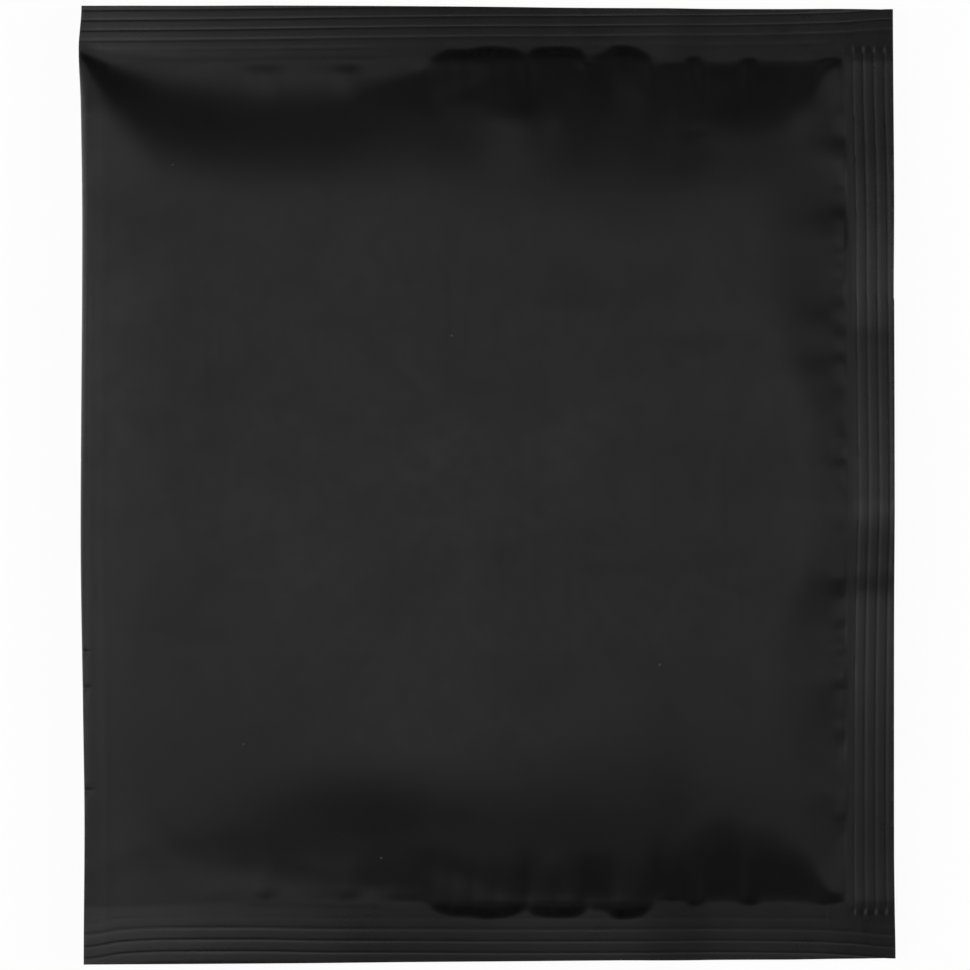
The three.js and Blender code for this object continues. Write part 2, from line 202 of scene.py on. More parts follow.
# Lips: short steps where the film leaves a seal steeply, as (from, to, rise)
TOP_LIPS = (
    (-34, -7, 0.03),
    (-29.6, -28.4, 0.1),
    (-27.9, -26.4, 0.15),
    (-18.6, -16, 0.2),
    (-7.2, -3.4, 0.26),
    (-5.2, -1.2, 0.4),
    (-3.4, 2.2, 0.5),
    (0.2, 4.9, 0.42),
    (5.2, 8.8, 0.4),
    (6.8, 12.2, 0.5),
    (12.8, 17.5, 0.1),
    (15.6, 18.8, 0.46),
    (17.2, 20.6, 0.36),
    (24.9, 26.9, 0.28),
    (31.8, 33.8, 0.28),
    (41.2, 45, 0.26),
)
BOTTOM_LIPS = (
    (-34, -7, 0.03),
    (-29.4, -27.2, 0.2),
    (-18.8, -16.6, 0.2),
    (-15, -3.4, 0.13),
    (-7.6, -3.6, 0.3),
    (-5.4, -1.4, 0.42),
    (-3.2, 1.8, 0.46),
    (-0.4, 4.7, 0.5),
    (4.8, 9.4, 0.44),
    (7, 12, 0.5),
    (12.4, 17, 0.1),
    (15.2, 18.6, 0.46),
    (17, 20.3, 0.36),
    (24.8, 26.9, 0.32),
    (31.6, 33.9, 0.32),
    (41, 45, 0.25),
)
LIP_DEPTH = 1.2
# Painted shade in the folds of the lips: it is full between two shares of that depth, and fades out by a
# third; the rise at which that starts and is full
FOLD_SHADE_SHARES = (0.4, 0.6, 1.2)
FOLD_SHADE_RISE = (0.1, 0.55)
# Behind the lips the film swells along the seals: height along x, and how far in the lips have merged into it
TOP_SWELL = (
    (-18, 0), (-7, 0.4), (1, 0.7), (8.7, 0.75), (17, 0.5), (22, 0.15), (26, 0.25), (33, 0.3), (40, 0.2),
    (45, 0),
)
BOTTOM_SWELL = (
    (-18, 0), (-7, 0.4), (1, 0.7), (8.7, 0.75), (17, 0.6), (22, 0.35), (26, 0.3), (33, 0.3), (40, 0.2),
    (45, 0),
)
SWELL_TURN = 7.0

# Soft bulges (+) and hollows (-) of the film, as (x, y, half-width, half-height, rise)
BULGES = (
    # beside the top seal
    (3.2, 45.2, 4.2, 4.2, 0.34),
    (3.0, 46.3, 3.4, 1.8, 0.14),
    (-2.0, 50.6, 4.2, 2.2, -0.1),
    (12.4, 51.6, 1.0, 3.2, 0.2),
    (18.6, 51.4, 1.6, 3.4, 0.22),
    (23.6, 51.4, 1.3, 4.0, 0.3),
    (-28.2, 51.0, 2.2, 1.8, 0.05),
    (-18.2, 51.0, 2.4, 2.0, 0.07),
    (-11.0, 51.4, 2.0, 1.8, 0.04),
    (8.4, 47.2, 1.3, 3.2, 0.2),
    (22.8, 46.0, 2.2, 4.5, 0.06),
    (29.4, 46.4, 2.0, 4.0, 0.1),
    (39.4, 47.4, 2.2, 3.0, 0.2),
    (25.9, 44.4, 2.0, 0.6, -0.05),
    (27.0, 37.6, 6.0, 4.5, 0.13),
    # beside the bottom seal
    (23.4, -51.0, 1.5, 4.0, 0.3),
    (-34.2, -51.2, 2.5, 1.8, 0.05),
    (-20.4, -50.2, 2.6, 1.8, 0.08),
    (-10.4, -51.2, 3.0, 2.4, 0.08),
    (-4.5, -49.4, 3.6, 2.1, -0.12),
    (3.0, -50.2, 4.6, 2.6, -0.14),
    (10.0, -50.2, 3.0, 2.6, -0.12),
    (7.9, -48.8, 1.2, 2.2, 0.12),
    (16.6, -50.4, 2.0, 2.6, -0.1),
    (-12.2, -43.5, 8.0, 4.0, -0.15),
    # beside the side seal
    (44.2, 41.6, 3.4, 1.8, 0.16),
    (44.0, 35.4, 4.0, 2.4, -0.08),
    (44.4, 31.0, 4.6, 2.8, 0.34),
    (43.6, 23.0, 4.4, 2.4, -0.12),
    (42.6, 20.0, 3.6, 1.6, 0.08),
    (43.0, 16.4, 4.4, 1.8, -0.05),
    (42.0, 13.6, 5.0, 2.4, 0.08),
    (44.0, 4.6, 2.6, 1.5, -0.06),
    (44.0, 1.6, 3.0, 1.6, 0.1),
    (44.0, -11.6, 3.0, 2.0, 0.1),
    (43.6, -17.4, 4.4, 2.6, -0.1),
    (44.0, -24.6, 4.0, 2.8, 0.26),
    (44.0, -31.4, 3.6, 2.0, -0.08),
    (44.4, -39.0, 3.6, 2.0, 0.18),
    # middle
    (11.0, 21.4, 6.0, 2.6, 0.14),
    (0.3, -5.6, 4.5, 2.6, 0.1),
    (9.1, -20.3, 6.0, 4.0, 0.14),
    (25.0, 19.0, 9.0, 1.6, -0.08),
    (13.0, -7.6, 7.0, 1.2, -0.06),
    (20.0, -11.4, 7.0, 1.4, -0.06),
    (-42.0, -12.0, 5.5, 8.0, 0.25),
)
BULGE_START = 0.8
# Small puckers along the inner edge of the side seal, as (y, rise)
PUCKERS = (
    (46.4, 0.06), (43.6, -0.08), (40.4, 0.1), (37.8, -0.08), (33.4, 0.12), (28.8, -0.12), (26.4, 0.1),
    (24.4, -0.06), (22, 0.1), (20.1, -0.1), (18, 0.08), (15.2, 0.12), (12.4, -0.1), (8.2, -0.06),
    (5.5, 0.12), (3.2, -0.1), (0.6, -0.08), (-1.6, 0.06), (-6.2, -0.05), (-9.8, 0.06), (-11.8, 0.1),
    (-14.4, -0.08), (-16.8, 0.12), (-18.7, -0.08), (-20.4, 0.08), (-22.2, -0.1), (-25.8, -0.12),
    (-28.6, 0.06), (-30.8, 0.12), (-33.2, -0.08), (-35.8, 0.07), (-38.4, -0.1), (-41.4, 0.12),
    (-44.4, -0.06),
)
PUCKER_X = 44.3
PUCKER_HALF_WIDTH = 1.0
PUCKER_HALF_HEIGHT = 0.9
# Straight soft ridges (+) and valleys (-), as (x, y, x, y, half-width, rise)
CREASES = (
    (-8.5, 47.0, 3.6, 52.0, 1.2, -0.06),
    (-9.7, -46.7, 2.6, -51.4, 1.5, -0.07),
    (-46.8, -15.2, -39.9, -20.3, 1.2, -0.03),
    (-39.9, -20.3, -32.4, -19.6, 1.2, -0.03),
    # in the thin lower left corner
    (-42.4, -42.3, -37.4, -48.6, 1.4, -0.06),
    (-33.0, -44.2, -30.5, -49.8, 1.2, -0.06),
    (-25.0, -47.4, -18.0, -49.2, 1.4, 0.05),
    # along the end seals, where no lips open
    (-41.0, 52.9, -13.0, 53.2, 0.4, 0.012),
    (-31.0, -52.5, -13.0, -52.6, 0.4, 0.012),
)
# Painted shade of the fold at the top end of the folded edge, in the same terms, with its depth from 0 to 1
# last
CORNER_FOLD_SHADE = ((-51.4, 54.1, -47.2, 52.2, 0.6, 1.0),)

# Short creases that nick the folded edge, and one that runs along it
FOLD_NICKS = (45.8, 37.5, 6.2, 3.0, -21.1, -25.7, -38.5)
NICK_REACH = 1.6
NICK_HALF_WIDTH = 0.22
NICK_DEPTH = 0.12
FOLD_CREASE_IN = 2.8
FOLD_CREASE_HALF_WIDTH = 0.5
FOLD_CREASE_RISE = 0.03

# Wear: how far in from the trimmed ends, the cut side and the fold the film is rubbed
END_WEAR = 0.4
SIDE_WEAR = 0.5
FOLD_WEAR = 0.6

# Grid of the front, as (from, to, step): columns along x, and the rows between the end seals along y
COLUMNS = (
    (FOLD_X, FOLD_X + 1.4, 0.14),
    (FOLD_X + 1.4, FOLD_X + 4, 0.4),
    (FOLD_X + 4, -9, 1.0),
    (-9, SIDE_SEAL_X - 0.9, 0.46),
    (SIDE_SEAL_X - 0.9, CUT_X, 0.115),
)
INNER_ROWS = (
    (-52.3, -38, 0.55),
    (-38, -14.5, 0.6),
    (-14.5, -9.5, 0.5),
    (-9.5, 38, 0.6),
    (38, 52.7, 0.5),
)
# Rows across a nick, in its half-widths, and how many there are in each part of an end seal
NICK_ROWS = (-1.2, 0, 1.2)
BAND_ROWS, RIB_ROWS, TRIM_ROWS = 16, 24, 14
SHARP_EDGE = math.radians(50)


def ease(value, low, high):
    """0 below low, 1 above high, and an S-shaped rise between them."""
    share = np.clip((value - low) / (high - low), 0, 1)
    return share * share * (3 - 2 * share)


def curve(at, points):
    """A smooth line through (place, value) points that never strays past them, level beyond its ends."""
    places, values = (np.array(column, dtype=float) for column in zip(*points))
    rates = np.diff(values) / np.diff(places)
    slopes = np.zeros_like(values)
    rising_on = rates[:-1] * rates[1:] > 0
    slopes[1:-1][rising_on] = 2 / (1 / rates[:-1][rising_on] + 1 / rates[1:][rising_on])
    at = np.clip(at, places[0], places[-1])
    left = np.clip(np.searchsorted(places, at) - 1, 0, len(places) - 2)
    right = left + 1
    width = places[right] - places[left]
    t = (at - places[left]) / width
    near = (1 - t) ** 2 * ((1 + 2 * t) * values[left] + t * width * slopes[left])
    far = t**2 * ((3 - 2 * t) * values[right] - (1 - t) * width * slopes[right])
    return near + far


def spot(x, y, place_x, place_y, half_width, half_height):
    """1 at a place, falling off softly around it."""
    return np.exp(-(((x - place_x) / half_width) ** 2) - ((y - place_y) / half_height) ** 2)


def width_share(x):
    """0 at the fold, 1 at the cut edge of the side seal."""
    return (x - FOLD_X) / FILM_WIDTH


def top_cut(x):
    return FILM_HEIGHT / 2 + TOP_TRIM_SKEW * (0.5 - width_share(x)) + curve(x, TOP_STRAY)


def bottom_cut(x):
    return -FILM_HEIGHT / 2 - BOTTOM_TRIM_SKEW * (0.5 - width_share(x)) + curve(x, BOTTOM_STRAY)


def soft_least(shares):
    """The least of several shares, rounded where two of them meet."""
    total = sum(np.maximum(share, LEAST_SHARE) ** -CORNER_SHARPNESS for share in shares) - (len(shares) - 1)
    least = total ** (-1 / CORNER_SHARPNESS)
    return np.where(np.minimum.reduce(shares) > 0, least, 0)


def slope(depth, run, peak):
    """Share of the full height at a depth in from an edge, steepest at a given share of the run."""
    along = np.clip(depth / run, 0, 1)
    before = np.clip(along / peak, 0, 1)
    after = np.clip((along - peak) / (1 - peak), 0, 1)
    foot = peak * before**3 * (2 - before)
    shoulder = (1 - peak) * after * (2 - 2 * after**2 + after**3)
    return foot + shoulder


def ramp(depth, run):
    """Share of the full height at a depth in from an edge, on an even slope with a rounded head."""
    along = np.clip(depth / run, 0, 1 + STEEP_ROUNDING)
    return along - np.maximum(along - 1 + STEEP_ROUNDING, 0) ** 2 / (4 * STEEP_ROUNDING)


def fold_share(x, y, run_share):
    """Share of the full height beside the fold: the round, open edge, then a long slope."""
    depth = x - FOLD_X
    edge = curve(y, FOLD_EDGE) / FRONT_CROWN
    rounding = np.sqrt(1 - (1 - np.clip(depth / FOLD_ROUNDING, 0, 1)) ** 2)
    return edge * rounding + (1 - edge) * slope(depth, curve(y, FOLD_RUN) * run_share, FOLD_PEAK)


def end_share(inward, x, run_share, run, peak, steep, steep_run):
    """Share of the full height in from an end seal: a long slope, with a steep foot at the gathers."""
    depth = np.hypot(np.maximum(inward, 0), FOOT_ROUNDING) - FOOT_ROUNDING
    foot = curve(x, steep)
    tail = slope(depth, curve(x, run) * run_share, curve(x, peak))
    return foot * ramp(depth, curve(x, steep_run) * run_share) + (1 - foot) * tail


def from_ends(x, y):
    """How far in from each end seal's opened arches a place is."""
    depths = []
    for inward, opening in (
        (curve(x, TOP_SEAL) - y, curve(x, TOP_OPENING)),
        (y - curve(x, BOTTOM_SEAL), curve(x, BOTTOM_OPENING)),
    ):
        depths.append(inward + opening * (1 - ease(inward + opening, 0, OPENING_REACH)))
    return depths


def filling(x, y, run_share):
    """How full the sachet is, from 0 on the seals to 1 in its level middle."""
    top, bottom = from_ends(x, y)
    return soft_least([
        end_share(top, x, run_share, TOP_RUN, TOP_PEAK, TOP_STEEP, TOP_STEEP_RUN),
        end_share(bottom, x, run_share, BOTTOM_RUN, BOTTOM_PEAK, BOTTOM_STEEP, BOTTOM_STEEP_RUN),
        slope(SIDE_SEAL_X - x, curve(y, SIDE_RUN) * run_share, SIDE_PEAK),
        fold_share(x, y, run_share),
    ])


def lip_rise(along, mouths):
    """Rise of the lips at places along one seal."""
    return np.maximum.reduce([
        rise * (1 - np.clip((2 * along - start - end) / (end - start), -1, 1) ** 2)
        for start, end, rise in mouths
    ])


def lips(along, depth, mouths, swell, emptiness):
    """Lift of the lips along one seal, which merge into one swelling further in."""
    lift = lip_rise(along, mouths) * ease(depth, 0, LIP_DEPTH)
    merged = ease(depth, LIP_DEPTH, SWELL_TURN)
    return (1 - merged) * lift + merged * emptiness * curve(along, swell)


def bulges(x, y):
    """The soft bulges and hollows and the puckers, which die away at the seals."""
    nearest = np.minimum.reduce([curve(x, TOP_SEAL) - y, y - curve(x, BOTTOM_SEAL), SIDE_SEAL_X - x])
    lift = np.zeros_like(x)
    for *place, rise in BULGES:
        lift += rise * spot(x, y, *place)
    for place_y, rise in PUCKERS:
        lift += rise * spot(x, y, PUCKER_X, place_y, PUCKER_HALF_WIDTH, PUCKER_HALF_HEIGHT)
    return lift * ease(nearest, 0, BULGE_START)


def straight_folds(x, y, folds):
    """Straight ridges and valleys, which fade at their ends."""
    lift = np.zeros_like(x)
    for from_x, from_y, to_x, to_y, half_width, rise in folds:
        length = math.hypot(to_x - from_x, to_y - from_y)
        lead_x, lead_y = (to_x - from_x) / length, (to_y - from_y) / length
        along = (x - from_x) * lead_x + (y - from_y) * lead_y
        aside = (x - from_x) * lead_y - (y - from_y) * lead_x
        ends = ease(along, -half_width, 2 * half_width) * ease(length - along, -half_width, 2 * half_width)
        lift += rise * ends * np.exp(-((aside / half_width) ** 2))
    return lift


def painted_fold_shade(x, y):
    """Painted shade in the folds of the lips and at the corner: how deep in such a fold a place is, from 0 to
    1.
    """
    deep = straight_folds(x, y, CORNER_FOLD_SHADE)
    full_from, full_to, gone = (share * LIP_DEPTH for share in FOLD_SHADE_SHARES)
    for depth, mouths in zip(from_ends(x, y), (TOP_LIPS, BOTTOM_LIPS)):
        face = ease(depth, 0, full_from) * (1 - ease(depth, full_to, gone))
        deep += ease(lip_rise(x, mouths), *FOLD_SHADE_RISE) * face
    return deep


def fold_creases(x, y):
    """The nicks in the folded edge and the faint crease along it."""
    depth = x - FOLD_X
    lift = FOLD_CREASE_RISE * np.exp(-(((depth - FOLD_CREASE_IN) / FOLD_CREASE_HALF_WIDTH) ** 2))
    reach = 1 - ease(depth, 0, NICK_REACH)
    for place in FOLD_NICKS:
        lift -= NICK_DEPTH * np.exp(-(((y - place) / NICK_HALF_WIDTH) ** 2)) * reach
    return lift


def seal_plane(x, y):
    """The mid-surface between the two layers: uneven, hanging outwards, and arched along the side seal."""
    up = y / FILM_HEIGHT + 0.5
    lift = curve(x, TOP_SEAL_LIFT) * up + curve(x, BOTTOM_SEAL_LIFT) * (1 - up)
    arch = curve(y, SIDE_SEAL_LIFT) * ease(x, 0, SIDE_SEAL_X)
    past_end = np.maximum(y - curve(x, TOP_SEAL), 0) + np.maximum(curve(x, BOTTOM_SEAL) - y, 0)
    past_side = SIDE_SEAL_BEND * np.log1p(np.exp((x - SIDE_SEAL_X) / SIDE_SEAL_BEND))
    hang = curve(x, END_SEAL_FALL) * past_end + SIDE_SEAL_FALL * past_side
    return SEAL_HEIGHT + lift + arch - hang


def front_rise(x, y, plane):
    """Rise of the front above the seal plane, up to a nearly level crown."""
    across = np.clip(x / CUT_X, -1, 1)
    up = np.clip(y / (FILM_HEIGHT / 2), -1, 1)
    dome = FRONT_DOME * (1 - across**2) * (1 - up**2)
    crown = SEAL_HEIGHT + FRONT_CROWN + dome - FRONT_FALL * ease(x, 0, CUT_X)
    full = filling(x, y, 1.0)
    for *place, missing in THIN:
        full *= 1 - missing * spot(x, y, *place)
    top, bottom = from_ends(x, y)
    mouths = lips(x, top, TOP_LIPS, TOP_SWELL, (y > 0) * (1 - full))
    mouths += lips(x, bottom, BOTTOM_LIPS, BOTTOM_SWELL, (y < 0) * (1 - full))
    folds = bulges(x, y) + straight_folds(x, y, CREASES) + fold_creases(x, y)
    return (crown - plane) * full + mouths + folds


def back_share(x, y):
    """The share of the way from the seals down to the flat face that the sachet lies on."""
    return np.minimum(filling(x, y, BACK_RUN_SHARE) / BACK_FLAT_FROM, 1)


def stations(*stretches):
    """Places along a line from (from, to, step) stretches, ending on the last one's end."""
    places = []
    for start, end, step in stretches:
        count = max(1, round(abs(end - start) / step))
        places.extend(start + (end - start) * i / count for i in range(count))
    places.append(stretches[-1][1])
    return np.array(places)


def seal_rows(inner, groove, pitch, cut):
    """Rows across an end seal, outwards: its plain band, two ribs at their pitch, and the rest to the cut."""
    places = [inner, groove, groove + 2 * pitch, cut]
    rows = [
        start + (end - start) * np.arange(1, count + 1)[None, :] / count
        for start, end, count in zip(places, places[1:], (BAND_ROWS, RIB_ROWS, TRIM_ROWS))
    ]
    return np.concatenate(rows, axis=1)


def film_grid():
    """Grids of x and y over the film, closer where the film is gathered, nicked or pressed."""
    columns = stations(*COLUMNS)
    inner_rows = stations(*INNER_ROWS)
    inner_low, inner_high = inner_rows[0], inner_rows[-1]
    nick_rows = [place + step * NICK_HALF_WIDTH for place in FOLD_NICKS for step in NICK_ROWS]
    clear = np.abs(inner_rows[:, None] - np.array(nick_rows)[None, :]).min(axis=1) > NICK_HALF_WIDTH
    inner_rows = np.sort(np.concatenate([inner_rows[clear], nick_rows]))
    x = columns[:, None]
    bottom = seal_rows(inner_low, curve(x, BOTTOM_GROOVE), -BOTTOM_PITCH, bottom_cut(x))
    inner = np.repeat(inner_rows[None, :], len(columns), axis=0)
    top = seal_rows(inner_high, curve(x, TOP_GROOVE), TOP_PITCH, top_cut(x))
    y = np.concatenate([bottom[:, ::-1], inner, top], axis=1)
    return np.repeat(x, y.shape[1], axis=1), y


def rib_press(run, pitch, first):
    """How firmly ribs are pressed at a run out from the start of the first one, which is weaker."""
    return np.where(run > pitch, 1.0, np.where(run > 0, first, 0.0))


def film_fields(x, y):
    """What the ribs and the material need to know at each place of the film.

    For each seal, that is the distance out from the start of its first rib and how firmly the ribs are
    pressed; then the painted shade by how deep in a fold the place is, how smooth it is pressed and how near
    a worn edge it lies.
    """
    top_run = y - curve(x, TOP_GROOVE) + TOP_PITCH
    bottom_run = curve(x, BOTTOM_GROOVE) - y + BOTTOM_PITCH
    side_run = x - curve(y, SIDE_GROOVE)
    low, high = SIDE_RIB_ENDS
    side_ends = ease(y, low, low + SIDE_RIB_FADE) * (1 - ease(y, high - SIDE_RIB_FADE, high))
    *corner, corner_share = SMOOTH_CORNER
    return {
        "top_run": top_run,
        "top_press": rib_press(top_run, TOP_PITCH, FIRST_END_RIB) * curve(x, END_RIB_PRESS),
        "bottom_run": bottom_run,
        "bottom_press": rib_press(bottom_run, BOTTOM_PITCH, FIRST_END_RIB) * curve(x, END_RIB_PRESS),
        "side_run": side_run,
        "side_press": rib_press(side_run, SIDE_PITCH, FIRST_SIDE_RIB) * side_ends,
        # painted shade: where the film gives back less light in the folds of the lips and at the corner
        "painted_fold_shade": painted_fold_shade(x, y),
        "sealed": np.maximum.reduce([
            ease(y - curve(x, TOP_SEAL), 0, SMOOTH_FROM),
            ease(curve(x, BOTTOM_SEAL) - y, 0, SMOOTH_FROM),
            ease(x - SIDE_SEAL_X, 0, SMOOTH_FROM),
            corner_share * spot(x, y, *corner),
        ]),
        "worn": np.maximum.reduce([
            1 - ease(top_cut(x) - y, 0, END_WEAR),
            1 - ease(y - bottom_cut(x), 0, END_WEAR),
            1 - ease(CUT_X - x, 0, SIDE_WEAR),
            1 - ease(x - FOLD_X, 0, FOLD_WEAR),
        ]),
    }


def every_other(count):
    return np.unique(np.append(np.arange(0, count, 2), count - 1))


def grid_quads(index):
    corners = [index[:-1, :-1], index[1:, :-1], index[1:, 1:], index[:-1, 1:]]
    return np.stack(corners, axis=-1).reshape(-1, 4).tolist()


def around(index):
    """The rim of a grid, once around."""
    return np.concatenate([index[:-1, 0], index[-1, :-1], index[:0:-1, -1], index[0, :0:-1]]).tolist()


def rim_faces(front_rim, back_rim):
    """Faces between a fine rim and a coarse one, which is -1 where it has no point."""
    stops = [place for place, point in enumerate(back_rim) if point >= 0]
    faces = []
    for start, end in zip(stops, stops[1:] + [len(back_rim)]):
        front = [front_rim[place % len(front_rim)] for place in range(end, start - 1, -1)]
        faces.append([back_rim[start], back_rim[end % len(back_rim)], *front])
    return faces


def film_mesh():
    """A closed mesh of the sachet: the front grid, a coarser back grid and the edges between them."""
    x, y = film_grid()
    plane = seal_plane(x, y)
    front = plane + FILM_THICKNESS + front_rise(x, y, plane)
    back = (plane - FILM_THICKNESS) * (1 - back_share(x, y))
    shift = curve(y, FOLD_STRAY) * (1 - width_share(x)) + curve(y, CUT_STRAY) * width_share(x)
    front_index = np.arange(x.size).reshape(x.shape)
    coarse = np.ix_(*(every_other(count) for count in x.shape))
    back_index = np.full(x.shape, -1)
    back_index[coarse] = x.size + np.arange(back[coarse].size).reshape(back[coarse].shape)
    places = np.concatenate([
        np.stack([x + shift, y + MIDDLE_Y, front], axis=-1).reshape(-1, 3),
        np.stack([x + shift, y + MIDDLE_Y, back], axis=-1)[coarse].reshape(-1, 3),
    ])
    faces = grid_quads(front_index) + [quad[::-1] for quad in grid_quads(back_index[coarse])]
    faces += rim_faces(around(front_index), around(back_index))
    mesh = bpy.data.meshes.new("film")
    mesh.from_pydata((places * MM).tolist(), [], faces)
    mesh.update()
    for name, field in film_fields(x, y).items():
        attribute = mesh.attributes.new(name, "FLOAT", "POINT")
        values = np.concatenate([field.reshape(-1), field[coarse].reshape(-1)])
        attribute.data.foreach_set("value", values.astype(np.float32))
    mesh.shade_smooth()
    mesh.set_sharp_from_angle(angle=SHARP_EDGE)
    return mesh


def rib_tree():
    """Geometry nodes that press a row of equal round ribs with sharp grooves, at a pitch along a run.

    The ribs rise and the grooves sink about the level of the plain film.
    """
    tree = bpy.data.node_groups.new("pressed_ribs", "GeometryNodeTree")
    sockets = (
        ("Geometry", "NodeSocketGeometry"),
        ("Run", "NodeSocketString"),
        ("Press", "NodeSocketString"),
        ("Pitch", "NodeSocketFloat"),
        ("Roundness", "NodeSocketFloat"),
        ("Height", "NodeSocketFloat"),
        ("Film", "NodeSocketMaterial"),
    )
    for name, kind in sockets:
        tree.interface.new_socket(name, in_out="INPUT", socket_type=kind)
    tree.interface.new_socket("Geometry", in_out="OUTPUT", socket_type="NodeSocketGeometry")
    nodes, links = tree.nodes, tree.links
    given = nodes.new("NodeGroupInput").outputs
    result = nodes.new("NodeGroupOutput")

    def math_node(operation, first, second):
        node = nodes.new("ShaderNodeMath")
        node.operation = operation
        for socket, value in zip(node.inputs, (first, second)):
            if isinstance(value, (int, float)):
                socket.default_value = value
            elif value is not None:
                links.new(value, socket)
        return node.outputs[0]

    def field(name_socket):
        node = nodes.new("GeometryNodeInputNamedAttribute")
        node.data_type = "FLOAT"
        links.new(name_socket, node.inputs["Name"])
        return node.outputs["Attribute"]

    phase = math_node("FRACT", math_node("DIVIDE", field(given["Run"]), given["Pitch"]), None)
    across = math_node("ABSOLUTE", math_node("SUBTRACT", math_node("MULTIPLY", phase, 2), 1), None)
    arch = math_node("SUBTRACT", 1, math_node("POWER", across, given["Roundness"]))
    level = math_node("DIVIDE", given["Roundness"], math_node("ADD", given["Roundness"], 1))
    relief = math_node("MULTIPLY", math_node("SUBTRACT", arch, level), given["Height"])
    rise = math_node("MULTIPLY", relief, field(given["Press"]))
    offset = nodes.new("ShaderNodeCombineXYZ")
    links.new(rise, offset.inputs["Z"])
    press = nodes.new("GeometryNodeSetPosition")
    links.new(given["Geometry"], press.inputs["Geometry"])
    links.new(offset.outputs["Vector"], press.inputs["Offset"])
    realize = nodes.new("GeometryNodeRealizeInstances")
    links.new(press.outputs["Geometry"], realize.inputs["Geometry"])
    coat = nodes.new("GeometryNodeSetMaterial")
    links.new(realize.outputs["Geometry"], coat.inputs["Geometry"])
    links.new(given["Film"], coat.inputs["Material"])
    links.new(coat.outputs["Geometry"], result.inputs["Geometry"])
    return tree


def press_ribs(film, material):
    """Presses the ribs of the three seals and keeps the result as a plain mesh."""
    tree = rib_tree()
    identifiers = {item.name: item.identifier for item in tree.interface.items_tree if item.in_out == "INPUT"}
    seals = (
        ("top", TOP_PITCH, END_RIB_HEIGHT, END_RIB_ROUNDNESS),
        ("bottom", BOTTOM_PITCH, END_RIB_HEIGHT, END_RIB_ROUNDNESS),
        ("side", SIDE_PITCH, SIDE_RIB_HEIGHT, SIDE_RIB_ROUNDNESS),
    )
    for name, pitch, height, roundness in seals:
        modifier = film.modifiers.new(name + "_ribs", "NODES")
        modifier.node_group = tree
        values = {
            "Run": name + "_run",
            "Press": name + "_press",
            "Pitch": pitch,
            "Roundness": roundness,
            "Height": height * MM,
            "Film": material,
        }
        for label, value in values.items():
            modifier[identifiers[label]] = value
    depsgraph = bpy.context.evaluated_depsgraph_get()
    pressed = bpy.data.meshes.new_from_object(
        film.evaluated_get(depsgraph), preserve_all_data_layers=True, depsgraph=depsgraph
    )
    film.modifiers.clear()
    film.data = pressed
    film.data.name = "film"


# Finish of the film: the colours of its mottling and wear, its roughness, and how much light it gives back,
# less where shade is painted into folds
FILM_DARK = (0.0024, 0.0024, 0.0025, 1)
FILM_PALE = (0.0036, 0.0036, 0.0036, 1)
RUBBED_COLOR = (0.02, 0.02, 0.02, 1)
SCUFF_COLOR = (0.006, 0.006, 0.006, 1)
DUST_COLOR = (0.09, 0.09, 0.085, 1)
FRONT_ROUGHNESS = 0.42
SEAL_ROUGHNESS = 0.29
PLAIN_SPECULAR = 0.5
FOLD_SHADE_SPECULAR = 0.12


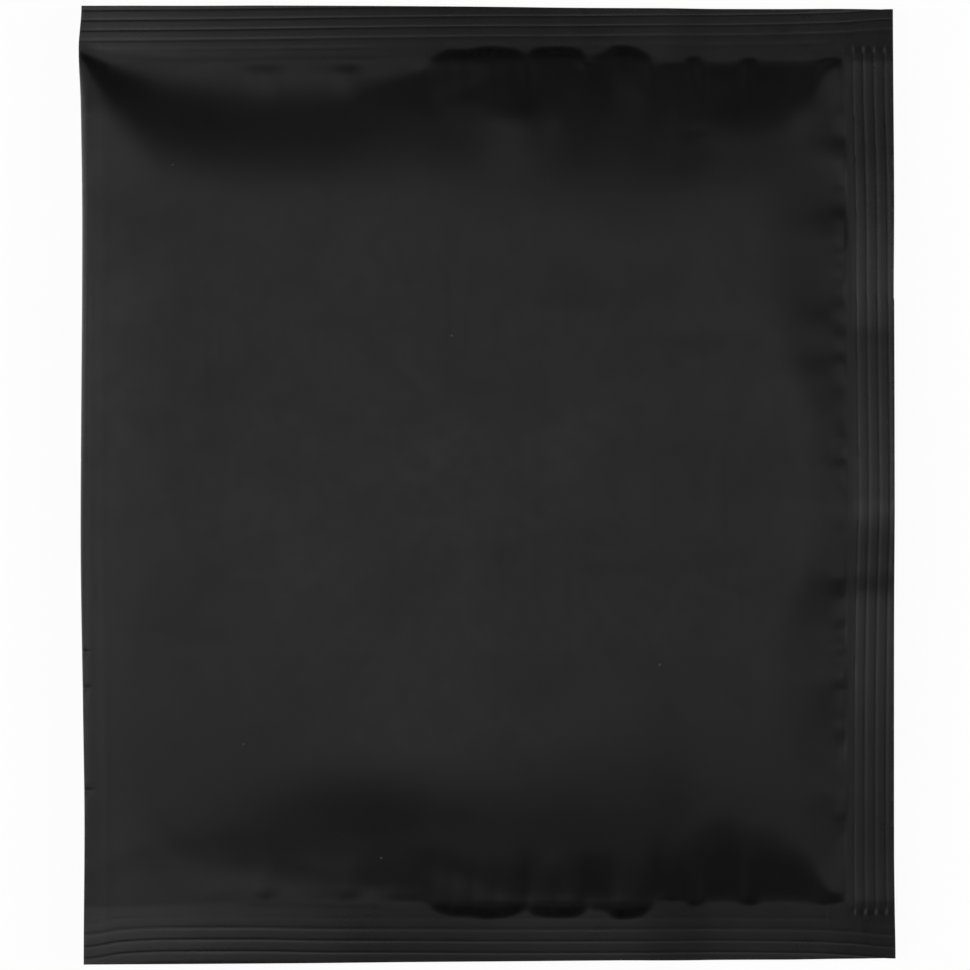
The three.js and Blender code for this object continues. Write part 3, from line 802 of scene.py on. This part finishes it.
def film_material():
    """Matte black film: faint mottling, soft ripples, smoother pressed seals, dust, dull scuffs and painted
    shade in the folds.

    The scales of its patterns are per metre.
    """
    material = bpy.data.materials.new("black_film")
    material.use_nodes = True
    nodes, links = material.node_tree.nodes, material.node_tree.links
    shader = nodes["Principled BSDF"]
    place = nodes.new("ShaderNodeTexCoord").outputs["Object"]

    def noise(scale, detail):
        node = nodes.new("ShaderNodeTexNoise")
        node.inputs["Scale"].default_value = scale
        node.inputs["Detail"].default_value = detail
        links.new(place, node.inputs["Vector"])
        return node.outputs["Fac"]

    def between(value, low, high, to_low, to_high):
        node = nodes.new("ShaderNodeMapRange")
        links.new(value, node.inputs["Value"])
        for name, number in (("From Min", low), ("From Max", high), ("To Min", to_low), ("To Max", to_high)):
            node.inputs[name].default_value = number
        return node.outputs["Result"]

    def bump(height, strength, depth, under=None):
        node = nodes.new("ShaderNodeBump")
        node.inputs["Strength"].default_value = strength
        node.inputs["Distance"].default_value = depth
        links.new(height, node.inputs["Height"])
        if under:
            links.new(under, node.inputs["Normal"])
        return node.outputs["Normal"]

    def field(name):
        node = nodes.new("ShaderNodeAttribute")
        node.attribute_name = name
        return node.outputs["Fac"]

    def combine(operation, first, second):
        node = nodes.new("ShaderNodeMath")
        node.operation = operation
        links.new(first, node.inputs[0])
        links.new(second, node.inputs[1])
        return node.outputs["Value"]

    def tint(share, under, color):
        node = nodes.new("ShaderNodeMix")
        node.data_type = "RGBA"
        links.new(share, node.inputs["Factor"])
        links.new(under, node.inputs["A"])
        node.inputs["B"].default_value = color
        return node.outputs["Result"]

    mottling = nodes.new("ShaderNodeValToRGB")
    links.new(noise(70, 4), mottling.inputs["Fac"])
    dark, pale = mottling.color_ramp.elements
    dark.position, dark.color = 0.3, FILM_DARK
    pale.position, pale.color = 0.7, FILM_PALE

    # Specks of dust: a small dot in a few of many cells
    cells = nodes.new("ShaderNodeTexVoronoi")
    cells.inputs["Scale"].default_value = 230
    links.new(place, cells.inputs["Vector"])
    chosen = nodes.new("ShaderNodeSeparateColor")
    links.new(cells.outputs["Color"], chosen.inputs["Color"])
    dots = between(cells.outputs["Distance"], 0.02, 0.045, 1, 0)
    dust = combine("MULTIPLY", dots, between(chosen.outputs["Red"], 0.93, 0.94, 0, 0.6))

    # Rubbed cut edges and fold, and dull scuffs drawn out along the sachet
    rubbed = combine("MULTIPLY", field("worn"), between(noise(650, 4), 0.45, 0.65, 0, 0.8))
    drawn_out = nodes.new("ShaderNodeMapping")
    drawn_out.inputs["Rotation"].default_value = (0, 0, 0.5)
    drawn_out.inputs["Scale"].default_value = (900, 60, 60)
    links.new(place, drawn_out.inputs["Vector"])
    streaks = nodes.new("ShaderNodeTexNoise")
    streaks.inputs["Scale"].default_value = 1
    streaks.inputs["Detail"].default_value = 2
    links.new(drawn_out.outputs["Vector"], streaks.inputs["Vector"])
    drawn = between(streaks.outputs["Fac"], 0.62, 0.72, 0, 1)
    scuffs = combine("MULTIPLY", drawn, between(noise(45, 2), 0.5, 0.6, 0, 1))

    color = tint(rubbed, mottling.outputs["Color"], RUBBED_COLOR)
    color = tint(between(scuffs, 0, 1, 0, 0.3), color, SCUFF_COLOR)
    color = tint(dust, color, DUST_COLOR)
    links.new(color, shader.inputs["Base Color"])

    roughness = between(field("sealed"), 0, 1, FRONT_ROUGHNESS, SEAL_ROUGHNESS)
    for change in (
        between(noise(55, 2), 0.35, 0.65, -0.015, 0.015),
        between(noise(140, 5), 0.3, 0.7, -0.02, 0.02),
        between(noise(520, 3), 0.3, 0.7, -0.015, 0.015),
        between(scuffs, 0, 1, 0, 0.03),
        between(dust, 0, 1, 0, 0.3),
    ):
        roughness = combine("ADD", roughness, change)
    links.new(roughness, shader.inputs["Roughness"])

    # Painted shade: the folds of the lips and of the corner give back less light, broken up by noise
    broken_fold_shade = combine("MULTIPLY", field("painted_fold_shade"), between(noise(900, 3), 0.35, 0.6, 0.4, 1))
    links.new(between(broken_fold_shade, 0, 1, PLAIN_SPECULAR, FOLD_SHADE_SPECULAR), shader.inputs["Specular IOR Level"])

    ripples = bump(noise(220, 3), 0.3, 0.00004)
    ripples = bump(noise(700, 3), 0.25, 0.000015, ripples)
    links.new(bump(noise(1800, 4), 0.25, 0.00001, ripples), shader.inputs["Normal"])
    return material


def add_film():
    material = film_material()
    film = bpy.data.objects.new("film", film_mesh())
    bpy.context.scene.collection.objects.link(film)
    film.data.materials.append(material)
    press_ribs(film, material)
    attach(film, "root")
    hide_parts("sachet")


# Stage, in metres
PHOTO_PIXELS = 970
PIXELS_PER_MM = 7.95
PHOTO_MIDDLE = (487.3, 484.0)
CAMERA_HEIGHT = 0.8
LENS_SENSOR = 36.0
FLOOR_REACH = 4.0
BACKDROP_HEIGHT = 0.4
# The floor lies a hair below the sachet's flat back, so that the two faces don't coincide
FLOOR_DROP = 0.00002
FLOOR_COLOR = (0.9, 0.9, 0.9, 1)
FLOOR_ROUGHNESS = 0.9
FLOOR_GLOW = 0.95
WORLD_LEVEL = 0.06
# Soft boxes, as (name, place, target, size, radiance, seen in reflections)
LAMPS = (
    ("overhead_far_left", (-1.15, 0, 1.0), (-1.15, 0, 0), (1.3, 0.27), 2.6, True),
    ("overhead_left", (-0.375, 0, 1.0), (-0.375, 0, 0), (0.25, 0.27), 1.7, True),
    ("left_panel", (-1.5, 0, 0.35), (0, 0, 0), (0.8, 0.6), 1.0, True),
    ("overhead_middle", (0, 0, 1.0), (0, 0, 0), (0.5, 0.27), 1.35, True),
    ("overhead_right", (0.95, 0, 1.0), (0.95, 0, 0), (1.4, 0.27), 0.95, True),
    ("left_fill", (-1.0, 0, 0.9), (0, 0, 0), (1.0, 1.0), 2.6, False),
    ("right_fill", (1.0, 0, 0.9), (0, 0, 0), (1.0, 1.0), 2.6, False),
)


def add_floor():
    """A very large white floor with a low backdrop all round it.

    Both are mostly self-lit where they are seen, so they are white and the shadow is faint.
    """
    corners = [
        (x * FLOOR_REACH, y * FLOOR_REACH, z)
        for z in (-FLOOR_DROP, BACKDROP_HEIGHT)
        for x, y in ((-1, -1), (1, -1), (1, 1), (-1, 1))
    ]
    walls = [(side, side + 4, (side + 1) % 4 + 4, (side + 1) % 4) for side in range(4)]
    mesh = bpy.data.meshes.new("floor")
    mesh.from_pydata(corners, [], [(0, 1, 2, 3), *walls])
    floor = bpy.data.objects.new("floor", mesh)
    bpy.context.scene.collection.objects.link(floor)
    material = bpy.data.materials.new("white_floor")
    material.use_nodes = True
    nodes, links = material.node_tree.nodes, material.node_tree.links
    shader = nodes["Principled BSDF"]
    shader.inputs["Base Color"].default_value = FLOOR_COLOR
    shader.inputs["Roughness"].default_value = FLOOR_ROUGHNESS
    shader.inputs["Specular IOR Level"].default_value = 0.0
    glow = nodes.new("ShaderNodeEmission")
    glow.inputs["Strength"].default_value = 1.0
    rays = nodes.new("ShaderNodeLightPath").outputs
    seen_directly = rays["Is Camera Ray"]
    for name in ("Is Glossy Ray", "Is Transmission Ray"):
        either = nodes.new("ShaderNodeMath")
        either.operation = "MAXIMUM"
        links.new(seen_directly, either.inputs[0])
        links.new(rays[name], either.inputs[1])
        seen_directly = either.outputs["Value"]
    seen = nodes.new("ShaderNodeMapRange")
    seen.inputs["To Max"].default_value = FLOOR_GLOW
    links.new(seen_directly, seen.inputs["Value"])
    mix = nodes.new("ShaderNodeMixShader")
    links.new(seen.outputs["Result"], mix.inputs["Fac"])
    links.new(shader.outputs["BSDF"], mix.inputs[1])
    links.new(glow.outputs["Emission"], mix.inputs[2])
    links.new(mix.outputs["Shader"], nodes["Material Output"].inputs["Surface"])
    mesh.materials.append(material)


def add_lamp(name, place, target, size, radiance, reflected):
    """A soft box of an even radiance, aimed at a target and out of the camera's sight."""
    lamp = bpy.data.lights.new(name, "AREA")
    lamp.shape = "RECTANGLE"
    lamp.size, lamp.size_y = size
    lamp.energy = radiance * math.pi * size[0] * size[1]
    holder = bpy.data.objects.new(name, lamp)
    holder.location = place
    holder.rotation_euler = (Vector(target) - Vector(place)).to_track_quat("-Z", "Y").to_euler()
    holder.visible_camera = False
    holder.visible_glossy = reflected
    bpy.context.scene.collection.objects.link(holder)


def add_lights():
    for lamp in LAMPS:
        add_lamp(*lamp)
    world = bpy.data.worlds.new("studio")
    bpy.context.scene.world = world
    world.use_nodes = True
    sky = world.node_tree.nodes["Background"]
    sky.inputs["Color"].default_value = (1, 1, 1, 1)
    sky.inputs["Strength"].default_value = WORLD_LEVEL


def add_camera():
    lens = bpy.data.cameras.new("camera")
    seen = PHOTO_PIXELS / PIXELS_PER_MM * MM
    lens.sensor_width = LENS_SENSOR
    lens.sensor_fit = "HORIZONTAL"
    lens.lens = LENS_SENSOR * (CAMERA_HEIGHT - SEAL_HEIGHT * MM) / seen
    holder = bpy.data.objects.new("camera", lens)
    x = (PHOTO_PIXELS / 2 - PHOTO_MIDDLE[0]) / PIXELS_PER_MM * MM
    y = (PHOTO_MIDDLE[1] - PHOTO_PIXELS / 2) / PIXELS_PER_MM * MM + MIDDLE_Y * MM
    holder.location = (x, y, CAMERA_HEIGHT)
    bpy.context.scene.collection.objects.link(holder)
    bpy.context.scene.camera = holder


add_film()
add_floor()
add_lights()
add_camera()
bpy.context.scene.view_settings.view_transform = "Standard"
